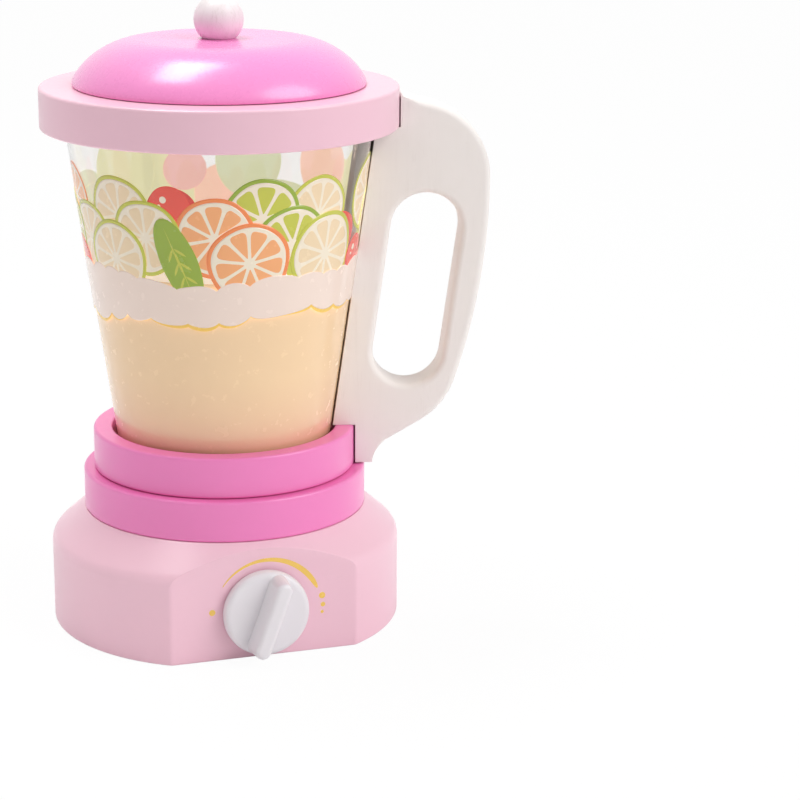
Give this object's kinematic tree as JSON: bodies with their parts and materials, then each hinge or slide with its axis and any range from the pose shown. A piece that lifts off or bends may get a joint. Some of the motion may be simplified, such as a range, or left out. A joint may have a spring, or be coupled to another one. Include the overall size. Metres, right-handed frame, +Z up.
{
  "type": "toy blender",
  "caption": "Wooden pretend-play blender: round base with a click dial on its flat front, tapered clear jug with a board handle and a lift-off domed lid.",
  "frame": {"origin": "middle of the base's flat underside, on the axis of the base and jug", "axes": "+Z up along the jug's axis; the flat front with the dial faces -Y; the handle is towards +X, turned 13.5 degrees to the front as in the picture"},
  "size_m": [0.1619, 0.1339, 0.2322],
  "materials": {
    "pink_paint": "satin pink paint on turned wood",
    "deep_pink_paint": "satin deep pink paint on turned wood",
    "hot_pink_paint": "satin hot pink paint on turned wood",
    "white_paint": "white paint on wood with fine grain showing",
    "bare_wood": "sanded pale wood",
    "clear_plastic": "clear glossy sheet rolled into a cone, printed",
    "white_plastic": "white moulded plastic",
    "grey_plastic": "grey moulded plastic",
    "steel": "plated steel",
    "brass": "turned brass"
  },
  "bodies": {
    "base": {"base_block": "pink_paint", "base_collar": "deep_pink_paint", "collar_dowels": "bare_wood", "base_cover": "bare_wood", "cover_screws": "steel", "spindle_bush": "brass", "spring_block": "bare_wood", "click_spring": "steel", "spring_screw": "steel"},
    "dial": {"dial_knob": "white_plastic", "dial_spindle": "steel", "spindle_washer": "steel", "click_wheel": "grey_plastic", "spindle_screw": "steel"},
    "jug": {"jug_wall": "clear_plastic", "jug_rim": "pink_paint", "jug_foot_ring": "deep_pink_paint", "jug_floor": "white_paint", "jug_spigot": "bare_wood", "floor_screws": "steel", "handle": "white_paint", "seam_batten": "white_paint", "handle_screws": "steel", "handle_dowels": "bare_wood"},
    "lid": {"lid_dome": "hot_pink_paint", "lid_spigot": "bare_wood", "lid_ball": "white_paint", "lid_screw": "steel"}
  },
  "joints": [
    {"name": "dial_turn", "type": "hinge", "parent": "base", "child": "dial", "pos_m": [0, -0.055, 0.0175], "axis": [0, -1, 0], "continuous": true},
    {"name": "jug_lift", "type": "slide", "parent": "base", "child": "jug", "axis": [0, 0, 1], "range_m": [0, 0.06]},
    {"name": "lid_lift", "type": "slide", "parent": "jug", "child": "lid", "axis": [0, 0, 1], "range_m": [0, 0.05]}
  ]
}
